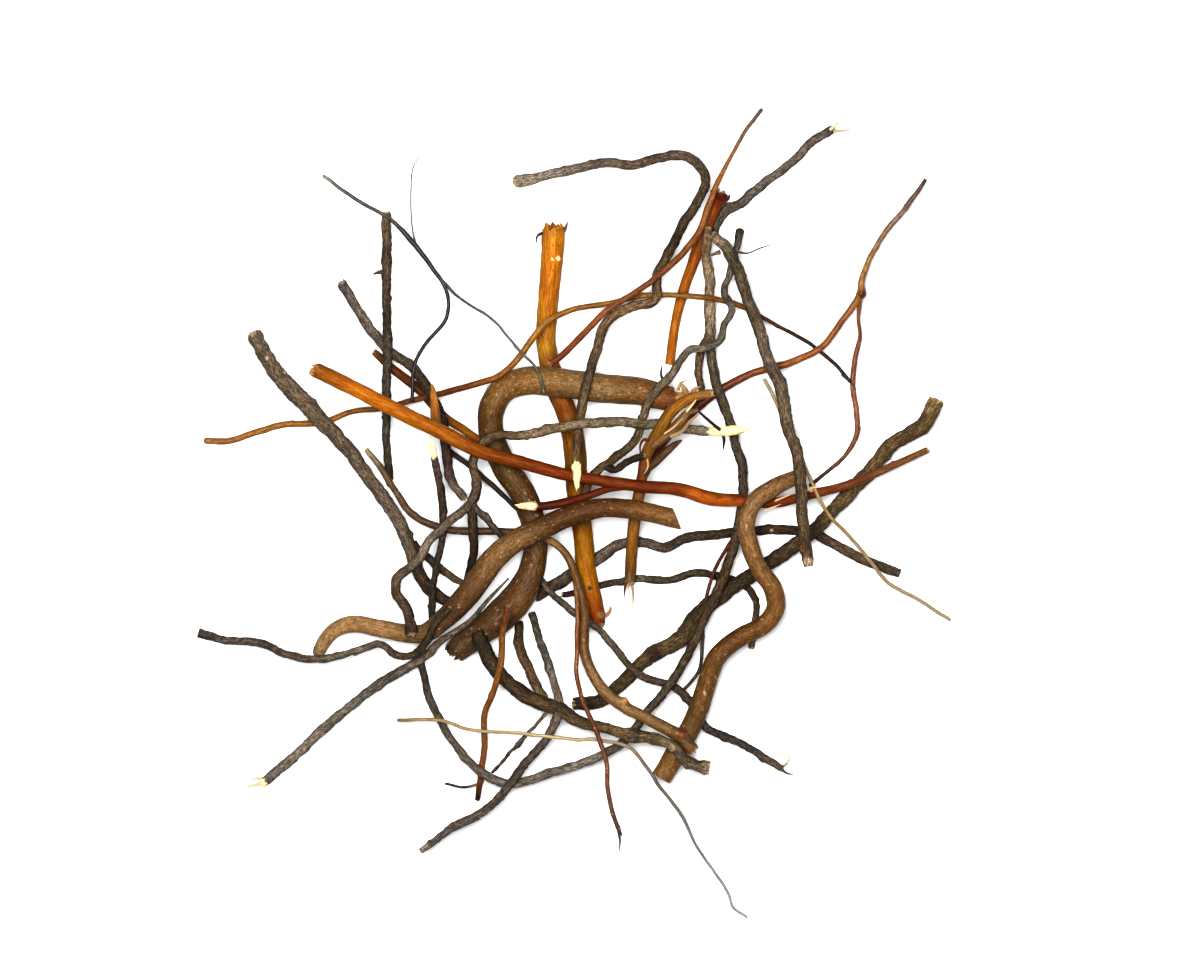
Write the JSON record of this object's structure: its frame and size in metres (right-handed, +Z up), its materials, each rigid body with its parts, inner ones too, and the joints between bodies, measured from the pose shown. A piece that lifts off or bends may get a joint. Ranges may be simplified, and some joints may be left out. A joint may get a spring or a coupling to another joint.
{
  "type": "dry root tangle",
  "caption": "Flat tangle of dry roots, thick brown and grey ones hooked through thin orange, russet, yellow and black ones.",
  "frame": {"origin": "on the surface that the tangle rests on, under the middle of its bounding box", "axes": "+Z up; +X and +Y lie in the plane that the roots are spread over, +Y towards the end of the highest thin root tip"},
  "size_m": [0.4161, 0.4472, 0.0586],
  "materials": {
    "brown_bark": "smooth dry bark, matt",
    "grey_bark": "wrinkled dry bark, matt",
    "orange_wood": "barkless orange root wood, slight sheen",
    "russet_bark": "thin russet bark, slight sheen",
    "tan_bark": "thin tan bark, matt",
    "yellow_bark": "thin yellow bark, slight sheen",
    "black_bark": "thin black bark, matt"
  },
  "bodies": {
    "root": {"front_brown_root": "brown_bark", "right_brown_root": "brown_bark", "hooked_brown_root": "brown_bark", "long_orange_root": "orange_wood", "upright_orange_root": "orange_wood", "short_orange_root": "orange_wood", "torn_orange_root": "orange_wood", "slim_orange_root": "orange_wood", "long_russet_root": "russet_bark", "top_russet_root": "russet_bark", "right_russet_root": "russet_bark", "lower_russet_root": "russet_bark", "long_tan_root": "tan_bark", "right_yellow_rootlet": "yellow_bark", "lower_yellow_rootlet": "yellow_bark", "left_grey_root": "grey_bark", "right_grey_root": "grey_bark", "leaning_grey_root": "grey_bark", "middle_grey_root": "grey_bark", "slim_grey_root": "grey_bark", "arched_grey_root": "grey_bark", "top_grey_root": "grey_bark", "long_grey_root": "grey_bark", "wiggly_grey_root": "grey_bark", "peeled_grey_root": "grey_bark", "slanting_grey_root": "grey_bark", "straight_grey_root": "grey_bark", "short_grey_root": "grey_bark", "outer_grey_root": "grey_bark", "splintered_grey_root": "grey_bark", "gnarled_grey_root": "grey_bark", "frayed_grey_root": "grey_bark", "black_rootlet": "black_bark", "short_black_rootlet": "black_bark"}
  },
  "joints": []
}
